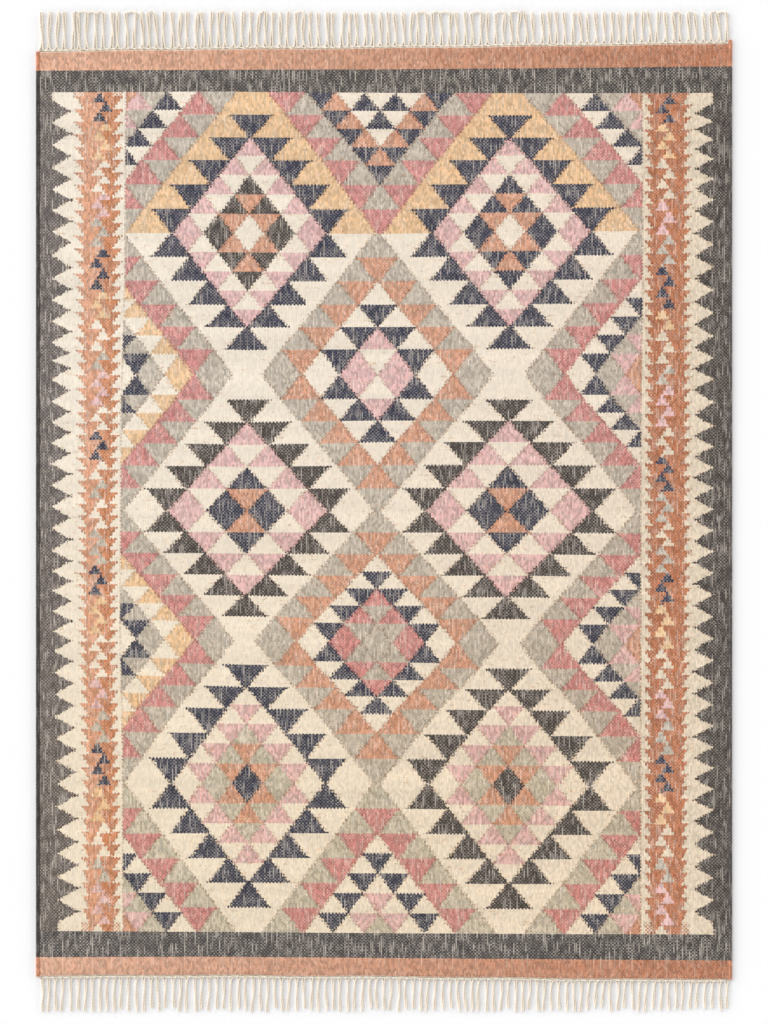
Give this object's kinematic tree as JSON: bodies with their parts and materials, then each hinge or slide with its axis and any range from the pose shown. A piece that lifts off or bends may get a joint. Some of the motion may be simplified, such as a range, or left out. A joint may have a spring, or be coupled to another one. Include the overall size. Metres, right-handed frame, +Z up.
{
  "type": "kilim rug",
  "caption": "Flat-woven wool kilim rug lying flat, with stepped diamond medallions, toothed side borders, banded ends, rolled selvedges and a cotton fringe at both ends.",
  "frame": {"origin": "middle of the rug's underside, on the floor", "axes": "+X across the rug, +Y along it towards the far fringe, +Z up"},
  "size_m": [1.6, 2.3, 0.0065],
  "materials": {
    "wool_wefts": "matte, weft-faced weave",
    "cotton_warps": "matte, twisted yarn"
  },
  "bodies": {
    "root": {"woven_cloth": "wool_wefts", "fringe_far": "cotton_warps", "fringe_near": "cotton_warps"}
  },
  "joints": []
}
